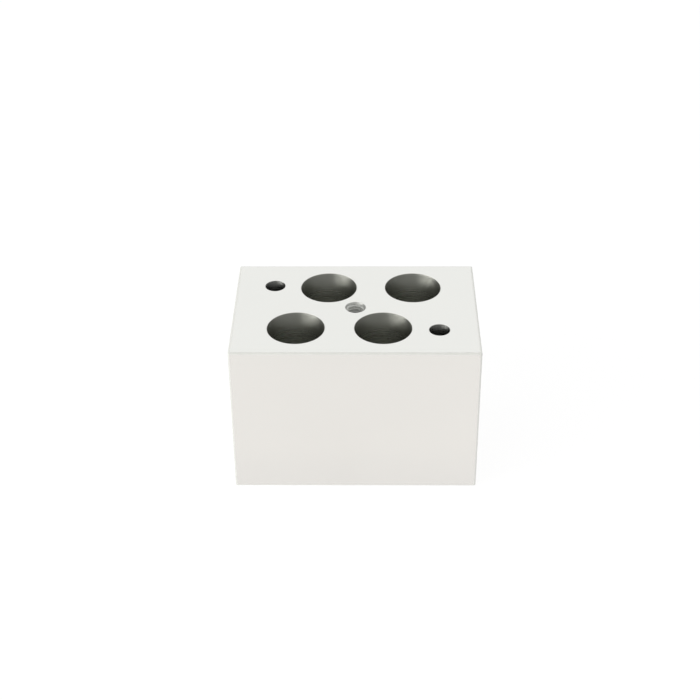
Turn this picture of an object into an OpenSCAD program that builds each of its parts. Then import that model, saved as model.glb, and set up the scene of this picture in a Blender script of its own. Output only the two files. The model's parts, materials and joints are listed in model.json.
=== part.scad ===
// Heat block insert for a small dry bath: one machined aluminium block that
// holds four conical tubes, two thermometers and a screw-in lifting handle.
//
// Frame: +X to the block's right, +Y to its back, +Z up.
// Origin: middle of the base. All lengths are in millimetres.
//
// Each row has two tube wells and one thermometer well. The back row is the
// front row turned half a turn about Z, so the block can go in either way round.

/* [Block] */
// Width of the block, left to right
block_w = 75; // [74:0.5:110]
// Depth of the block, front to back
block_d = 51; // [48:0.5:80]
// Height of the block
block_h = 50; // [42:0.5:80]
// Chamfer on the block's twelve outer edges
edge_chamfer = 0.4; // [0.1:0.1:1]

/* [Tube wells] */
// Outside diameter of the tube's straight barrel
tube_d = 17; // [15:0.1:17.6]
// Outside diameter of the tube's tip, where its cone ends
tube_tip_d = 6; // [4:0.1:8]
// Length of the tube's cone
tube_cone_len = 21; // [10:0.5:30]
// Gap left all round a tube
tube_clearance = 0.2; // [0.05:0.05:0.4]
// Distance between the two wells of a row, centre to centre
well_pitch = 26.4; // [25:0.1:27.5]
// Distance between the two rows
row_spacing = 23.5; // [21:0.1:26]
// How far a row's wells sit off the middle, to make room for its thermometer well
row_shift = 4.75; // [4:0.05:5.5]
// Metal left under a well's deepest point
well_floor = 4.5; // [2:0.5:8]

/* [Thermometer wells] */
// Diameter of the thermometer's stem
stem_d = 6; // [3:0.1:7]
// Gap left all round a stem
stem_clearance = 0.1; // [0.05:0.05:0.3]
// Depth of the straight bore
stem_depth = 40; // [20:0.5:40]
// Distance of a thermometer well from the block's middle, along the row
stem_x = 25.4; // [25:0.1:30]
// Distance of a thermometer well from the block's middle, across the rows
stem_y = 12.8; // [10:0.1:16]

/* [Lifting hole] */
// Outside diameter of the lifting handle's thread
lift_thread_d = 6; // [4:0.5:6]
// Pitch of the lifting handle's thread
lift_pitch = 1; // [0.7:0.05:1]
// Depth of full thread
lift_thread_depth = 12; // [6:0.5:20]
// Depth that the tap drill goes past the last full thread
lift_drill_past = 3; // [1:0.5:6]
// Diameter of the countersink at the thread's mouth
lift_sink_d = 6.4; // [6.2:0.1:7]

/* [Finish] */
// Chamfer where the wells' rims are deburred
rim_break = 0.1; // [0.05:0.05:0.3]

/* [Hidden] */
$fn = 96;

// A twist drill leaves a 118 degree point: its height is this share of its radius.
drill_point = 1 / tan(118 / 2);
// Cutters run this far past the top face.
overcut = 1;

well_bore_d = tube_d + 2 * tube_clearance;
well_pilot_d = tube_tip_d + 2 * tube_clearance;
well_pilot_end = well_floor + drill_point * well_pilot_d / 2;
well_cone_end = well_pilot_end + tube_cone_len;

stem_bore_d = stem_d + 2 * stem_clearance;
lift_drill_d = lift_thread_d - lift_pitch;

// Rectangle x by y about the origin, with its corners cut off at 45 degrees.
module chamfered_rect(x, y, c) {
    polygon([
        for (corner = [[1, 1], [-1, 1], [-1, -1], [1, -1]])
            let (
                side = [corner.x * x / 2, corner.y * (y / 2 - c)],
                end = [corner.x * (x / 2 - c), corner.y * y / 2]
            )
            each (corner.x * corner.y > 0 ? [side, end] : [end, side])
    ]);
}

// The sawn and milled blank: three chamfered outlines, one seen along each axis.
module blank() {
    intersection() {
        linear_extrude(block_h)
            chamfered_rect(block_w, block_d, edge_chamfer);
        translate([0, block_d / 2, block_h / 2])
            rotate([90, 0, 0])
                linear_extrude(block_d)
                    chamfered_rect(block_w, block_h, edge_chamfer);
        translate([-block_w / 2, 0, block_h / 2])
            rotate([90, 0, 90])
                linear_extrude(block_w)
                    chamfered_rect(block_d, block_h, edge_chamfer);
    }
}

// Round cutter on the Z axis. wall lists [radius, height] from the deepest
// point up to the bore's last straight stretch, and the mouth opens at 45
// degrees from there to mouth_d in the block's top face.
module hole(wall, mouth_d) {
    bore_r = wall[len(wall) - 1].x;
    mouth_r = mouth_d / 2;
    rotate_extrude()
        polygon(concat(
            wall,
            [
                [bore_r, block_h - (mouth_r - bore_r)],
                [mouth_r, block_h],
                [mouth_r, block_h + overcut],
                [0, block_h + overcut],
            ]
        ));
}

// Blind hole left by a twist drill whose full diameter reaches down to depth.
module drilled_hole(d, depth, mouth_d) {
    hole(
        [
            [0, block_h - depth - drill_point * d / 2],
            [d / 2, block_h - depth],
        ],
        mouth_d
    );
}

// Well for a conical tube: a pilot drill's point, a reamed cone, a straight bore.
module tube_well() {
    hole(
        [
            [0, well_floor],
            [well_pilot_d / 2, well_pilot_end],
            [well_bore_d / 2, well_cone_end],
        ],
        well_bore_d + 2 * rim_break
    );
}

module thermometer_well() {
    drilled_hole(stem_bore_d, stem_depth, stem_bore_d + 2 * rim_break);
}

// Tapping hole for the handle's thread, bored to the thread's crests.
module lifting_hole() {
    drilled_hole(lift_drill_d, lift_thread_depth + lift_drill_past, lift_sink_d);
}

// The front row's holes: two tube wells to the left, a thermometer well to the right.
module row_of_holes() {
    for (side = [-1, 1])
        translate([side * well_pitch / 2 - row_shift, -row_spacing / 2, 0])
            tube_well();
    translate([stem_x, -stem_y, 0])
        thermometer_well();
}

module heat_block() {
    color([0.80, 0.80, 0.78])
        difference() {
            blank();
            for (turn = [0, 180])
                rotate([0, 0, turn])
                    row_of_holes();
            lifting_hole();
        }
}

heat_block();
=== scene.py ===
"""A heat block insert on a pale table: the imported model, dressed for a studio view."""
import json
import math

import bmesh
import bpy
from mathutils import Matrix, Vector


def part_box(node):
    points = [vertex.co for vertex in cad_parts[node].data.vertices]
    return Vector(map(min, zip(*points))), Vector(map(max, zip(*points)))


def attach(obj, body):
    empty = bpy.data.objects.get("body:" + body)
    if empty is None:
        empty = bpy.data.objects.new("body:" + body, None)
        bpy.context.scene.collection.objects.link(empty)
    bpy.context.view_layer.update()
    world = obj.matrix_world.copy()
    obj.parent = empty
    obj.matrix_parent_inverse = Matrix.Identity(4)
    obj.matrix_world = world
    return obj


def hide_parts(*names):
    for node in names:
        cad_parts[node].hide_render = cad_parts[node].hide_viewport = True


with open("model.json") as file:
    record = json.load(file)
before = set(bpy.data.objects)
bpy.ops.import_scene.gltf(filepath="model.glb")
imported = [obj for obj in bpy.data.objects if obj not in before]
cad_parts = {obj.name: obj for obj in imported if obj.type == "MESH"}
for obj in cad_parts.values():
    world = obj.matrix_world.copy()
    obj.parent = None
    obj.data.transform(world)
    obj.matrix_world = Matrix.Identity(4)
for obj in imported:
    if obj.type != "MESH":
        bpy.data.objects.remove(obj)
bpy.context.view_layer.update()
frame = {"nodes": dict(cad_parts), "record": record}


# ---------------------------------------------------------------------------
# Camera. A short telephoto on a stand in front of the block, a little to its
# right. It looks down into the wells, and the stand leans slightly.
# ---------------------------------------------------------------------------

MM = 0.001  # one millimetre in scene units
LENS = 73.2  # focal length on a 36 mm sensor, in mm
AIM = Vector((-1.8, 0.0, 34.2)) * MM
CAMERA_DISTANCE = 447.8 * MM
CAMERA_HEIGHT_ANGLE = math.radians(33.64)
CAMERA_TURN = math.radians(0.87)
CAMERA_LEAN = math.radians(-0.45)

camera_data = bpy.data.cameras.new("camera")
camera_data.lens = LENS
camera = bpy.data.objects.new("camera", camera_data)
bpy.context.scene.collection.objects.link(camera)

toward_camera = Vector((
    math.sin(CAMERA_TURN) * math.cos(CAMERA_HEIGHT_ANGLE),
    -math.cos(CAMERA_TURN) * math.cos(CAMERA_HEIGHT_ANGLE),
    math.sin(CAMERA_HEIGHT_ANGLE),
))
camera.matrix_world = (
    Matrix.Translation(AIM + CAMERA_DISTANCE * toward_camera)
    @ toward_camera.to_track_quat("Z", "Y").to_matrix().to_4x4()
    @ Matrix.Rotation(CAMERA_LEAN, 4, "Z")
)
bpy.context.scene.camera = camera


# ---------------------------------------------------------------------------
# Table. A wide sheet of white paper. It is plain paper to the light, and it
# shows the camera and the metal an even white with only a trace of shadow.
# ---------------------------------------------------------------------------

TABLE_RADIUS = 3.0
TABLE_SIDES = 64
PAPER = (0.92, 0.91, 0.89, 1.0)
PAPER_GLOW = (1.153, 1.156, 1.163, 1.0)  # with the paper's own shading it comes to white
SHADOW_SHARE = 0.30  # how much of the paper's own shading shows


class Net:
    """One output of a node. Arithmetic on it adds Math nodes to the same tree."""

    FIRST_COLOUR = 6  # a Mix node's sockets for colours
    SECOND_COLOUR = 7
    MIXED_COLOUR = 2

    def __init__(self, tree, socket=None):
        self.tree = tree
        self.socket = socket

    def add(self, kind, settings=None, feeds=None, out=0):
        """Adds a node, sets it up, feeds its sockets, and returns one output."""
        node = self.tree.nodes.new(kind)
        for name, value in (settings or {}).items():
            setattr(node, name, value)
        for key, value in (feeds or {}).items():
            if isinstance(value, Net):
                self.tree.links.new(value.socket, node.inputs[key])
            else:
                node.inputs[key].default_value = value
        return Net(self.tree, node.outputs[out] if node.outputs else None)

    def pick(self, out):
        """Another output of the same node."""
        return Net(self.tree, self.socket.node.outputs[out])

    def _math(self, operation, *values):
        return self.add("ShaderNodeMath", {"operation": operation}, dict(enumerate(values)))

    def __add__(self, other):
        return self._math("ADD", self, other)

    def __radd__(self, other):
        return self._math("ADD", other, self)

    def __sub__(self, other):
        return self._math("SUBTRACT", self, other)

    def __rsub__(self, other):
        return self._math("SUBTRACT", other, self)

    def __mul__(self, other):
        return self._math("MULTIPLY", self, other)

    def __rmul__(self, other):
        return self._math("MULTIPLY", other, self)

    def __truediv__(self, other):
        return self._math("DIVIDE", self, other)

    def __rtruediv__(self, other):
        return self._math("DIVIDE", other, self)

    def function(self, operation, *others):
        """Any other operation of a Math node, with this output as its first value."""
        return self._math(operation, self, *others)

    def between(self, least, most):
        """This output, held between two values."""
        return self.function("MAXIMUM", least).function("MINIMUM", most)

    def blend(self, first, second):
        """A colour between two, by this output: 0 is all first, 1 is all second."""
        return self._mix("MIX", self, first, second)

    def shaded(self, shade, share=1.0):
        """This colour multiplied by another, by this share."""
        return self._mix("MULTIPLY", share, self, shade)

    def _mix(self, kind, share, first, second):
        return self.add(
            "ShaderNodeMix",
            {"data_type": "RGBA", "blend_type": kind},
            {"Factor": share, self.FIRST_COLOUR: first, self.SECOND_COLOUR: second},
            out=self.MIXED_COLOUR,
        )

    def vector(self, operation, *values):
        """A Vector Math node on these vectors."""
        return self.add("ShaderNodeVectorMath", {"operation": operation}, dict(enumerate(values)))

    def axis(self, name):
        """One component of this vector."""
        return self.add("ShaderNodeSeparateXYZ", feeds={0: self}, out=name)


def new_material(name):
    """An empty material, and its node tree."""
    material = bpy.data.materials.new(name)
    material.use_nodes = True
    material.node_tree.nodes.clear()
    return material, Net(material.node_tree)


def seen_directly(net):
    """1 for rays from the camera, a reflection or glass, and 0 for scattered light."""
    camera_ray = net.add("ShaderNodeLightPath", out="Is Camera Ray")
    mirrored = camera_ray.function("MAXIMUM", camera_ray.pick("Is Glossy Ray"))
    return mirrored.function("MAXIMUM", camera_ray.pick("Is Transmission Ray"))


table_mesh = bmesh.new()
bmesh.ops.create_circle(table_mesh, cap_ends=True, segments=TABLE_SIDES, radius=TABLE_RADIUS)
table_data = bpy.data.meshes.new("table")
table_mesh.to_mesh(table_data)
table_mesh.free()
table = bpy.data.objects.new("table", table_data)
bpy.context.scene.collection.objects.link(table)

paper, sheet = new_material("white_paper")
matt = sheet.add("ShaderNodeBsdfDiffuse", feeds={"Color": PAPER})
even = sheet.add("ShaderNodeEmission", feeds={"Color": PAPER_GLOW, "Strength": 1.0})
share = seen_directly(sheet) * (1.0 - SHADOW_SHARE)
shown = sheet.add("ShaderNodeMixShader", feeds={0: share, 1: matt, 2: even})
sheet.add("ShaderNodeOutputMaterial", feeds={"Surface": shown})
table_data.materials.append(paper)


# ---------------------------------------------------------------------------
# Studio. White walls all round give an even light. Two weak soft boxes stand
# side by side on the left, just above the block's top, and look into the wells.
# ---------------------------------------------------------------------------

WALL_LIGHT = 0.7  # what the walls give the paper; to the camera they are plain white
WHITE = (1.0, 1.0, 1.0, 1.0)
LAMP_AIM = Vector((0.0, 0.0, 50.0)) * MM  # the middle of the block's top
LAMP_DISTANCE = 0.9
LAMP_RISE = math.radians(9)
LAMP_HEIGHT = 0.25
LAMP_COLOUR = (1.0, 0.99, 0.97)
SOFT_BOXES = (  # a name, the turn from +X in degrees, the width in metres, and the watts
    ("left_soft_box", 199, 0.56, 2.3),
    ("front_left_soft_box", 230, 0.50, 1.2),
)

bpy.context.scene.view_settings.view_transform = "Standard"
world = bpy.data.worlds.new("studio")
bpy.context.scene.world = world
world.use_nodes = True
world.node_tree.nodes.clear()
walls = Net(world.node_tree)
glow = WALL_LIGHT + seen_directly(walls) * (1.0 - WALL_LIGHT)
wall_white = walls.add("ShaderNodeBackground", feeds={"Color": WHITE, "Strength": glow})
walls.add("ShaderNodeOutputWorld", feeds={"Surface": wall_white})


def soft_box(name, turn, width, watts):
    """A flat lamp that faces the block's top."""
    data = bpy.data.lights.new(name, "AREA")
    data.shape = "RECTANGLE"
    data.size = width
    data.size_y = LAMP_HEIGHT
    data.energy = watts
    data.color = LAMP_COLOUR
    lamp = bpy.data.objects.new(name, data)
    bpy.context.scene.collection.objects.link(lamp)
    turn = math.radians(turn)
    outward = Vector((
        math.cos(turn) * math.cos(LAMP_RISE),
        math.sin(turn) * math.cos(LAMP_RISE),
        math.sin(LAMP_RISE),
    ))
    lamp.location = LAMP_AIM + LAMP_DISTANCE * outward
    lamp.rotation_euler = outward.to_track_quat("Z", "Y").to_euler()


for lamp_name, lamp_turn, lamp_width, lamp_watts in SOFT_BOXES:
    soft_box(lamp_name, lamp_turn, lamp_width, lamp_watts)


# ---------------------------------------------------------------------------
# Block. One piece of aluminium, milled on all sides with its edges broken,
# then bead blasted and clear anodised to an even, pale satin grey.
# ---------------------------------------------------------------------------

EDGE_SOFTENING = 0.12 * MM  # the chamfers' own edges, rounded by the blasting
EDGE_STEPS = 3
EDGE_ROUND = 0.5  # the bevel's profile for a round section
SAME_POINT = 0.001 * MM
FLAT = math.radians(0.5)
CREASE = math.radians(12)
MOUTH_MARGIN = 0.8 * MM  # a hole's rim stands less than this outside its wall

SKIN_PALE = (0.8405, 0.844, 0.812, 1.0)
SKIN_DEEP = (0.825, 0.829, 0.797, 1.0)
SKIN_ROUGHNESS = 0.24
NOISE_MIDDLE = 0.5  # every noise here runs from 0 to 1
CLOUDS = 55.0  # slow clouds in a metre
CLOUD_GLOSS = 0.05  # how far the roughness varies with the clouds,
GRAIN_GLOSS = 0.12  # and with the grain
GRAINS = 7000.0  # blasted grains in a metre
GRAIN_DEPTH = 0.0015 * MM
PITS = GRAINS / 3  # wider pits under the grain
PIT_SHARE = 0.5  # of the grain's depth
SIDE_PAINTED_SHADE = (0.968, 0.940, 0.931, 1.0)  # painted shade: the sides are set a shade darker and warmer than the top
FOOT_PAINTED_SHADE = (0.955, 0.957, 0.965, 1.0)  # and painted shade, darker again at the foot,
FOOT_HEIGHT = 16 * MM  # which fades out this high up
EDGE_PAINTED_SHADE = (0.91, 0.91, 0.91, 1.0)  # painted shade along the broken edges, which are also rubbed rougher
EDGE_ROUGHNESS = 0.8
EDGE_NEAR = 0.4 * MM  # all rubbed and shaded this close to an edge,
EDGE_FAR = 1.0 * MM  # and not at all from here
RUB_AND_SHADE_PATCHES = 600.0  # patches of rubbing and painted shade in a metre
RUB_AND_SHADE_LEAST = 0.8  # the rubbing and shade in the lightest patch,
RUB_AND_SHADE_RANGE = 0.4  # and how much more there is in the heaviest

holes = {
    mount["name"]: mount for mount in frame["record"]["mounts"]
    if mount["kind"] in ("bore", "threaded_hole")
}
block_low, block_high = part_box("heat_block")
block_top = block_high.z


def over_hole(point):
    """The name of the hole whose mouth holds this point, seen from above, or None."""
    for name, hole in holes.items():
        across = (point.xy - Vector(hole["pos_m"]).xy).length
        if across < hole["dims"]["r_mm"] * MM + MOUTH_MARGIN:
            return name
    return None


def plain_copy(node, name):
    """A CAD node's mesh as a new object, with its points merged and its flats whole."""
    mesh = frame["nodes"][node].data.copy()
    mesh.name = name
    mesh.materials.clear()
    form = bmesh.new()
    form.from_mesh(mesh)
    bmesh.ops.remove_doubles(form, verts=form.verts, dist=SAME_POINT)
    bmesh.ops.dissolve_limit(form, angle_limit=FLAT, verts=form.verts, edges=form.edges)
    form.to_mesh(mesh)
    form.free()
    copy = bpy.data.objects.new(name, mesh)
    bpy.context.scene.collection.objects.link(copy)
    return copy


def soften_outer_edges(mesh):
    """Rounds the edges of the block's chamfers, and leaves the holes' rims crisp."""
    form = bmesh.new()
    form.from_mesh(mesh)
    outer = [
        edge for edge in form.edges
        if edge.calc_face_angle() > CREASE and not any(over_hole(v.co) for v in edge.verts)
    ]
    bmesh.ops.bevel(form, geom=outer, offset=EDGE_SOFTENING, offset_type="OFFSET",
                    segments=EDGE_STEPS, profile=EDGE_ROUND, affect="EDGES", clamp_overlap=True)
    form.to_mesh(mesh)
    form.free()


def noise(net, place, scale, detail):
    """Noise at a place, with its scale in features to the metre."""
    return net.add("ShaderNodeTexNoise",
                   feeds={"Vector": place, "Scale": scale, "Detail": detail}, out="Fac")


def metal_surface(net, colour, roughness, height, lie=None):
    """A metal shader with a relief of this height, in metres, on normals that lie so."""
    relief = {"Strength": 1.0, "Distance": 1.0, "Height": height}
    if lie:
        relief["Normal"] = lie
    metal = net.add("ShaderNodeBsdfPrincipled", feeds={
        "Base Color": colour,
        "Metallic": 1.0,
        "Roughness": roughness,
        "Normal": net.add("ShaderNodeBump", feeds=relief),
    })
    net.add("ShaderNodeOutputMaterial", feeds={"Surface": metal})


def near_edge(net, place):
    """1 on the block's outer edges, fading to 0 on its flats."""
    middle = (block_low + block_high) / 2
    half = (block_high - block_low) / 2
    from_middle = net.vector("ABSOLUTE", net.vector("SUBTRACT", place, middle))
    x = net.vector("SUBTRACT", half, from_middle).axis("X")  # how far in from each face
    y, z = x.pick("Y"), x.pick("Z")
    # An edge is where two faces meet, so the second nearest face tells how far it is.
    inward = x.function("MAXIMUM", y).function("MINIMUM", y.function("MAXIMUM", z))
    inward = inward.function("MINIMUM", z.function("MAXIMUM", x))
    closeness = ((EDGE_FAR - inward) / (EDGE_FAR - EDGE_NEAR)).between(0.0, 1.0)
    return closeness * closeness


def blasted_skin():
    """Bead-blasted, clear anodised aluminium: a fine even grain with faint slow clouds, and
    painted shade on the sides, at the foot and along the edges.
    """
    material, net = new_material("blasted_skin")
    place = net.add("ShaderNodeTexCoord", out="Object")
    clouds = noise(net, place, CLOUDS, detail=3.0)
    grain = noise(net, place, GRAINS, detail=2.0)
    pits = noise(net, place, PITS, detail=1.0)
    rub_and_shade_patches = noise(net, place, RUB_AND_SHADE_PATCHES, detail=2.0)
    # painted shade along the edges, and the edges' rubbed roughness
    worn_and_shaded = near_edge(net, place) * (RUB_AND_SHADE_LEAST + rub_and_shade_patches * RUB_AND_SHADE_RANGE)
    upward = net.add("ShaderNodeNewGeometry", out="Normal").axis("Z").function("MAXIMUM", 0.0)
    foot = ((FOOT_HEIGHT - place.axis("Z")) / FOOT_HEIGHT).function("MAXIMUM", 0.0)
    # painted shade: the sides darker and warmer than the top, darker again at the foot, and darker
    # along the edges
    shade = worn_and_shaded.blend(upward.blend(SIDE_PAINTED_SHADE, WHITE).shaded(FOOT_PAINTED_SHADE, foot), EDGE_PAINTED_SHADE)
    gloss = (grain - NOISE_MIDDLE) * GRAIN_GLOSS + (clouds - NOISE_MIDDLE) * CLOUD_GLOSS
    metal_surface(
        net,
        clouds.blend(SKIN_DEEP, SKIN_PALE).shaded(shade),
        SKIN_ROUGHNESS + worn_and_shaded * (EDGE_ROUGHNESS - SKIN_ROUGHNESS) + gloss,
        (grain + pits * PIT_SHARE) * GRAIN_DEPTH,
    )
    return material


block = plain_copy("heat_block", "block")
soften_outer_edges(block.data)
block.data.materials.append(blasted_skin())


# ---------------------------------------------------------------------------
# Wells. The tube wells are reamed and the thermometer wells drilled, all from
# the top, and the tools left fine rings round the walls. The blasting reached a
# little way in, so the walls are more matt at the mouth.
# ---------------------------------------------------------------------------

# These are painted shade: set for this even light, they are darker than bare aluminium, and in the
# drilled wells darker still below the mouth.
REAMED_MOUTH = (0.350, 0.354, 0.321, 1.0)
REAMED_PALE = (0.384, 0.391, 0.349, 1.0)
REAMED_DEEP = (0.334, 0.339, 0.296, 1.0)
DRILLED_MOUTH = (0.260, 0.263, 0.249, 1.0)
DRILLED_PALE = (0.160, 0.162, 0.152, 1.0)
DRILLED_DEEP = (0.110, 0.112, 0.104, 1.0)
SUNK_PALE = (0.385, 0.390, 0.370, 1.0)  # the countersink over the lifting hole
SUNK_DEEP = (0.335, 0.340, 0.322, 1.0)
MOUTH_ROUGHNESS = 0.35
WALL_ROUGHNESS = 0.28
BLAST_AND_SHADE_START = 0.5 * MM  # the blasted skin and the mouth's colour go in this far, and then
BLAST_AND_SHADE_FADE = 0.7  # fade out over this share of the hole's radius into the walls' painted shade
FEED_RING = 0.12 * MM  # the tool's feed left V-shaped rings round the hole
RING_TILT = 0.43  # how far their two sides lean, set steeper than real rings for a soft gleam
RING_CREST = 4.0  # how sharp the V is
SLOW_RING = 0.9 * MM  # and there are wide faint rings, where the tool was cleared
SLOW_TILT = 0.035
WANDER = 300.0  # in a metre: how often the rings' spacing changes
WANDER_TURNS = 1.5  # by how many rings
SLOW_WANDER = 0.4  # of that for the wide rings
BANDS = (70.0, 70.0, 1100.0)  # in a metre: slow round the hole, quick along it
BAND_DEPTH = 0.0008 * MM
BAND_SHARE = 0.6  # of the wall's change of colour, and the rest is chatter
BAND_GLOSS = 0.16  # how far the roughness varies with the bands
CHATTER = 900.0  # small patches in a metre
CHATTER_DEPTH = 0.0008 * MM


def stretched_noise(net, place, scale, detail):
    """Noise with its own scale along each axis."""
    return noise(net, net.vector("MULTIPLY", place, scale), 1.0, detail)


def ringed(net, place):
    """The normals of a wall that is covered with the fine rings of a tool's feed."""
    height = place.axis("Z")
    wander = noise(net, place, WANDER, detail=1.0) * (math.tau * WANDER_TURNS)
    feed = (height * (math.tau / FEED_RING) + wander).function("SINE") * RING_CREST
    slow = (height * (math.tau / SLOW_RING) + wander * SLOW_WANDER).function("SINE")
    lean = feed.between(-1.0, 1.0) * RING_TILT + slow * SLOW_TILT
    tilt = net.add("ShaderNodeCombineXYZ", feeds={"Z": lean})
    face = net.add("ShaderNodeNewGeometry", out="Normal")
    return net.vector("NORMALIZE", net.vector("ADD", face, tilt))


def bored_wall(name, radius, mouth, pale, deep):
    """A bored wall under fine rings: its mouth, and below it slow bands and chatter."""
    material, net = new_material(name)
    place = net.add("ShaderNodeAttribute", {"attribute_name": "from_axis"}, out="Vector")
    bands = stretched_noise(net, place, BANDS, detail=3.0)
    chatter = noise(net, place, CHATTER, detail=3.0)
    depth = 0.0 - place.axis("Z")
    inside = ((depth - BLAST_AND_SHADE_START) / (BLAST_AND_SHADE_FADE * radius)).between(0.0, 1.0)
    marks = bands * BAND_SHARE + chatter * (1.0 - BAND_SHARE)
    # the wall's colours are painted shade in the hole, passing from the mouth's colour to the
    # wall's below
    metal_surface(
        net,
        inside.blend(mouth, marks.blend(deep, pale)),
        MOUTH_ROUGHNESS + inside * (WALL_ROUGHNESS - MOUTH_ROUGHNESS)
        + (bands - NOISE_MIDDLE) * BAND_GLOSS,
        bands * BAND_DEPTH + chatter * CHATTER_DEPTH,
        ringed(net, place),
    )
    return material


def hole_radius(name):
    """The radius of a hole's straight wall, in metres."""
    return holes[name]["dims"]["r_mm"] * MM


hole_walls = {  # by the first word of the holes' names
    "tube": bored_wall("reamed_wall", hole_radius("tube_well_front_left"),
                       REAMED_MOUTH, REAMED_PALE, REAMED_DEEP),
    "thermometer": bored_wall("drilled_wall", hole_radius("thermometer_well_left"),
                              DRILLED_MOUTH, DRILLED_PALE, DRILLED_DEEP),
    "lifting": bored_wall("countersunk_wall", hole_radius("lifting_thread"),
                          SUNK_PALE, SUNK_PALE, SUNK_DEEP),
}
wall_slots = {}
for first_word, wall in hole_walls.items():
    wall_slots[first_word] = len(block.data.materials)
    block.data.materials.append(wall)
for face in block.data.polygons:
    hole = over_hole(face.center)
    if hole and face.normal.z < math.cos(CREASE):
        face.material_index = wall_slots[hole.split("_")[0]]


# ---------------------------------------------------------------------------
# Lifting thread. The middle hole is tapped M6 x 1 for the handle's stud. The
# groove follows a helix, fades in where the tap's point cut it, and runs out
# through the countersink.
# ---------------------------------------------------------------------------

THREAD_PITCH = 1.0 * MM
THREAD_DEPTH = 12.0 * MM  # of full thread, below the top
THREAD_MAJOR = 3.0 * MM  # radius at the groove's root
THREAD_ROOT_FLAT = THREAD_PITCH / 8
THREAD_FLANK = math.radians(30)
THREAD_LEAD = 2.0  # turns over which the groove fades in
THREAD_START = 0.05  # of its full section
THREAD_RUN_OUT = 1.0 * MM  # how far the cutter goes on above the top
THREAD_OVERLAP = 0.1 * MM  # how far the cutter stands out of the hole's wall
THREAD_STEPS = 72  # points in a turn
UPRIGHT = 0.1  # the most that an upright wall's normal rises

THREAD_PALE = (0.77, 0.775, 0.753, 1.0)
THREAD_DEEP = (0.652, 0.657, 0.635, 1.0)
THREAD_ROUGHNESS = 0.62
DRAG = (400.0, 400.0, 5000.0)  # in a metre: the tap's marks run round the hole
DRAG_DEPTH = 0.01 * MM
DRAG_GLOSS = 0.14  # how far they roughen it

thread_mouth = hole_radius("lifting_thread") - THREAD_OVERLAP
thread_low = block_top - THREAD_DEPTH - THREAD_LEAD * THREAD_PITCH
thread_turns = (block_top + THREAD_RUN_OUT - thread_low) / THREAD_PITCH


def cut_thread():
    """Metal as the tap left it: pale, dull flanks with fine drag marks round the hole."""
    material, net = new_material("cut_thread")
    place = net.add("ShaderNodeAttribute", {"attribute_name": "from_axis"}, out="Vector")
    marks = stretched_noise(net, place, DRAG, detail=4.0)
    metal_surface(
        net,
        marks.blend(THREAD_DEEP, THREAD_PALE),
        THREAD_ROUGHNESS + marks * DRAG_GLOSS,
        marks * DRAG_DEPTH,
        ringed(net, place),
    )
    return material


def thread_cutter_tree():
    """Geometry nodes that sweep the groove's section along a helix."""
    tree = bpy.data.node_groups.new("thread_cutter", "GeometryNodeTree")
    for name in ("Pitch", "Turns", "Mouth radius", "Depth", "Root flat", "Flank slope",
                 "Lead turns", "Low end"):
        tree.interface.new_socket(name, in_out="INPUT", socket_type="NodeSocketFloat")
    tree.interface.new_socket("Steps", in_out="INPUT", socket_type="NodeSocketInt")
    tree.interface.new_socket("Finish", in_out="INPUT", socket_type="NodeSocketMaterial")
    tree.interface.new_socket("Cutter", in_out="OUTPUT", socket_type="NodeSocketGeometry")

    pitch = Net(tree).add("NodeGroupInput", out="Pitch")
    turns, depth = pitch.pick("Turns"), pitch.pick("Depth")
    helix = pitch.add("GeometryNodeCurveSpiral", feeds={
        "Resolution": pitch.pick("Steps"),
        "Rotations": turns,
        "Start Radius": pitch.pick("Mouth radius"),
        "End Radius": pitch.pick("Mouth radius"),
        "Height": turns * pitch,
        "Reverse": True,
    })
    upright = pitch.add("GeometryNodeSetCurveNormal", {"mode": "Z_UP"}, {"Curve": helix})
    rise = pitch.add("ShaderNodeCombineXYZ", feeds={"Z": pitch.pick("Low end")})
    path = pitch.add("GeometryNodeSetPosition", feeds={"Geometry": upright, "Offset": rise})

    root = pitch.pick("Root flat") * 0.5
    mouth = root + depth * pitch.pick("Flank slope")
    outline = [(0.0, 0.0 - mouth), (depth, 0.0 - root), (depth, root), (0.0, mouth)]
    section = pitch.add("GeometryNodeCurvePrimitiveQuadrilateral", {"mode": "POINTS"}, {
        f"Point {i + 1}": pitch.add("ShaderNodeCombineXYZ", feeds={"X": out, "Y": along})
        for i, (out, along) in enumerate(outline)
    })

    turned = pitch.add("GeometryNodeSplineParameter", out="Factor") * turns
    fade = (turned / pitch.pick("Lead turns")).between(THREAD_START, 1.0)
    groove = pitch.add("GeometryNodeCurveToMesh", feeds={
        "Curve": path,
        "Profile Curve": section,
        "Scale": fade,
        "Fill Caps": True,
    })
    whole = pitch.add("GeometryNodeRealizeInstances", feeds={"Geometry": groove})
    finished = pitch.add("GeometryNodeSetMaterial",
                         feeds={"Geometry": whole, "Material": pitch.pick("Finish")})
    pitch.add("NodeGroupOutput", feeds={"Cutter": finished})
    return tree


def made_plain(piece):
    """Replaces a piece's mesh by what its modifiers make of it, and drops them."""
    evaluated = piece.evaluated_get(bpy.context.evaluated_depsgraph_get())
    piece.data = bpy.data.meshes.new_from_object(evaluated)
    piece.modifiers.clear()


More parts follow.
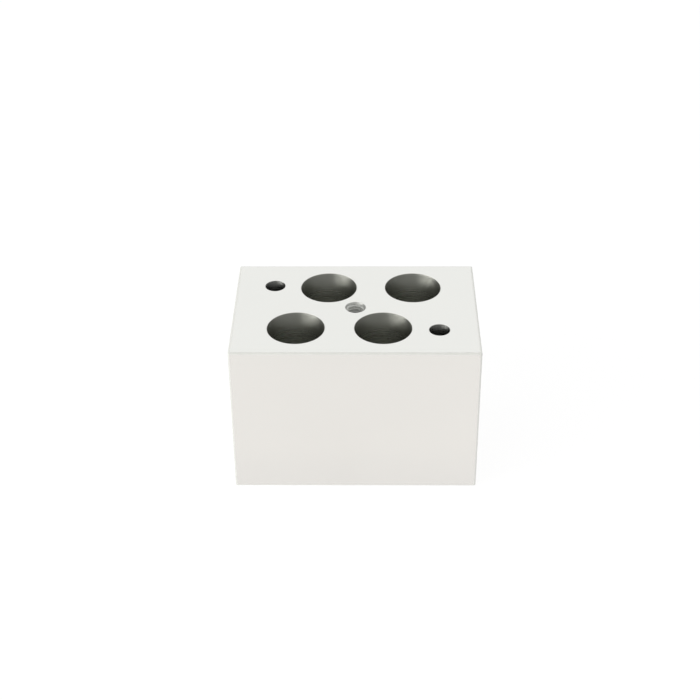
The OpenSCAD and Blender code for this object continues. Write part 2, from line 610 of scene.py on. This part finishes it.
tapped = cut_thread()
block.data.materials.append(tapped)
for face in block.data.polygons:
    if over_hole(face.center) == "lifting_thread" and abs(face.normal.z) < UPRIGHT:
        face.material_index = len(block.data.materials) - 1

cutter = bpy.data.objects.new("thread_cutter", bpy.data.meshes.new("thread_cutter"))
bpy.context.scene.collection.objects.link(cutter)
sweep = cutter.modifiers.new("sweep", "NODES")
sweep.node_group = thread_cutter_tree()
thread_sizes = {
    "Pitch": THREAD_PITCH,
    "Turns": thread_turns,
    "Mouth radius": thread_mouth,
    "Depth": THREAD_MAJOR - thread_mouth,
    "Root flat": THREAD_ROOT_FLAT,
    "Flank slope": math.tan(THREAD_FLANK),
    "Lead turns": THREAD_LEAD,
    "Low end": thread_low,
    "Steps": THREAD_STEPS,
    "Finish": tapped,
}
for socket in sweep.node_group.interface.items_tree:
    if socket.in_out == "INPUT":
        sweep[socket.identifier] = thread_sizes[socket.name]
made_plain(cutter)

tapping = block.modifiers.new("tapping", "BOOLEAN")
tapping.operation = "DIFFERENCE"
tapping.solver = "EXACT"
tapping.material_mode = "TRANSFER"
tapping.object = cutter
made_plain(block)
bpy.data.objects.remove(cutter)


# ---------------------------------------------------------------------------
# Hand-over. The block's round walls are shaded smooth, each point learns where
# it lies from its hole's axis, and the block takes the place of its CAD solid.
# ---------------------------------------------------------------------------


def shade_by_crease(mesh):
    """Smooth shading with hard creases, on a mesh of triangles and whole flats."""
    form = bmesh.new()
    form.from_mesh(mesh)
    from_axis = form.verts.layers.float_vector.new("from_axis")
    for vertex in form.verts:
        name = over_hole(vertex.co)
        if name:
            mouth = Vector((*holes[name]["pos_m"][:2], block_top))
            vertex[from_axis] = vertex.co - mouth
    for face in form.faces:
        face.smooth = True
    for edge in form.edges:
        edge.smooth = edge.calc_face_angle() < CREASE
    form.to_mesh(mesh)
    form.free()


shade_by_crease(block.data)
even_normals = block.modifiers.new("even_normals", "WEIGHTED_NORMAL")
even_normals.keep_sharp = True
made_plain(block)

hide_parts("heat_block")
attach(block, "root")
